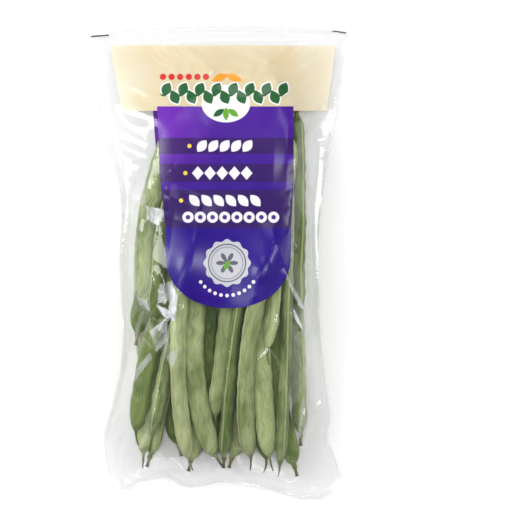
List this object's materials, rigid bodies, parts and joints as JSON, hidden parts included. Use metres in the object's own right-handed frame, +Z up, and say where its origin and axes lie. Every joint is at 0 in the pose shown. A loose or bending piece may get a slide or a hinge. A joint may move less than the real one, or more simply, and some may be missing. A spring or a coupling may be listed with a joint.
{
  "type": "green bean bundle",
  "caption": "Loose green bean pods lying along a clear film bag with a printed front, sealed on every edge and pulled in at the middle.",
  "frame": {"origin": "on the surface that the bundle lies on, under the middle of the bag's outline", "axes": "+Y towards the bag's head, +X to the right when the printed front is read, +Z up out of the printed front"},
  "size_m": [0.196, 0.3556, 0.0603],
  "materials": {
    "pod_mid": null,
    "pod_light": null,
    "pod_deep": null,
    "film": "clear glossy film with a printed front"
  },
  "bodies": {
    "root": {"pod_01": "pod_deep", "pod_02": "pod_mid", "pod_03": "pod_mid", "pod_04": "pod_mid", "pod_05": "pod_light", "pod_06": "pod_light", "pod_07": "pod_mid", "pod_08": "pod_deep", "pod_09": "pod_light", "pod_10": "pod_deep", "pod_11": "pod_mid", "pod_12": "pod_mid", "pod_13": "pod_deep", "pod_14": "pod_mid", "pod_15": "pod_light", "pod_16": "pod_light", "pod_17": "pod_mid", "pod_18": "pod_deep", "pod_19": "pod_deep", "pod_20": "pod_mid", "pod_21": "pod_deep", "pod_22": "pod_deep", "pod_23": "pod_mid", "pod_24": "pod_deep", "pod_25": "pod_deep", "pod_26": "pod_mid", "pod_27": "pod_deep", "pod_28": "pod_light", "pod_29": "pod_deep", "pod_30": "pod_mid", "pod_31": "pod_deep", "pod_32": "pod_deep", "pod_33": "pod_mid", "pod_34": "pod_light", "pod_35": "pod_deep", "pod_36": "pod_deep", "pod_37": "pod_mid", "pod_38": "pod_deep", "pod_39": "pod_deep", "pod_40": "pod_mid", "film_bag": "film"}
  },
  "joints": []
}
